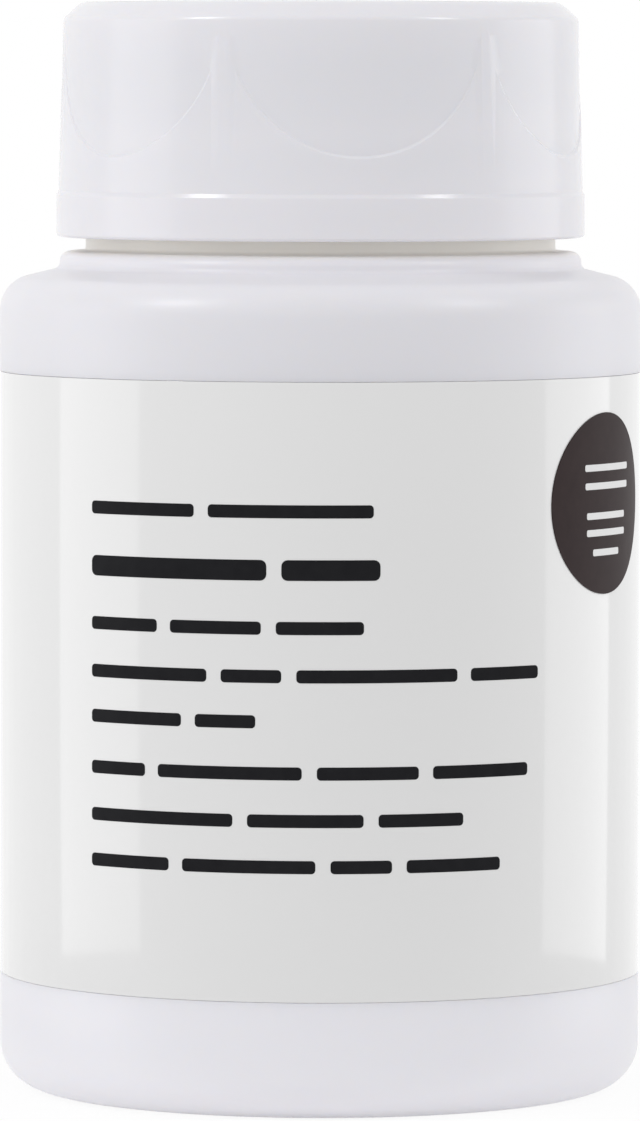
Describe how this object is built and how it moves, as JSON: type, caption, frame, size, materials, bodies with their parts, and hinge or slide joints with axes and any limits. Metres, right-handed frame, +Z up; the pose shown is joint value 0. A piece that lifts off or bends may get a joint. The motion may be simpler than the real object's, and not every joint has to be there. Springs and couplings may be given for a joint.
{
  "type": "nail polish remover sponge jar",
  "caption": "Round white pot with a screw cap, a wrapped label and a foam sponge inside that has a hole for dipping a finger.",
  "frame": {"origin": "middle of the base, on the surface the pot stands on", "axes": "+Z up along the pot's axis; the front of the label faces -Y and the dark spot is turned from it towards +X"},
  "size_m": [0.048, 0.048, 0.0814],
  "materials": {
    "bottle_plastic": "glossy moulded white plastic",
    "label_film": "glossy white film",
    "spot_film": "glossy dark brown film",
    "foam": "open-cell foam, wet",
    "cap_plastic": "satin-gloss moulded white plastic",
    "liner_foam": "matte closed-cell foam"
  },
  "bodies": {
    "jar": {"bottle": "bottle_plastic", "wrap_label": "label_film", "spot_label": "spot_film", "sponge": "foam"},
    "liner": {"cap_liner": "liner_foam"},
    "cap": {"cap_shell": "cap_plastic"}
  },
  "joints": [
    {"name": "cap_rise", "type": "slide", "parent": "jar", "child": "liner", "axis": [0, 0, 1], "range_m": [0, 0.0382]},
    {"name": "cap_turn", "type": "hinge", "parent": "liner", "child": "cap", "pos_m": [0, 0, 0.0789], "axis": [0, 0, 1], "range_deg": [0, 3240]}
  ],
  "couplings": [
    {"joint": "cap_rise", "follows": "cap_turn", "m_per_rad": 0.00067375}
  ]
}
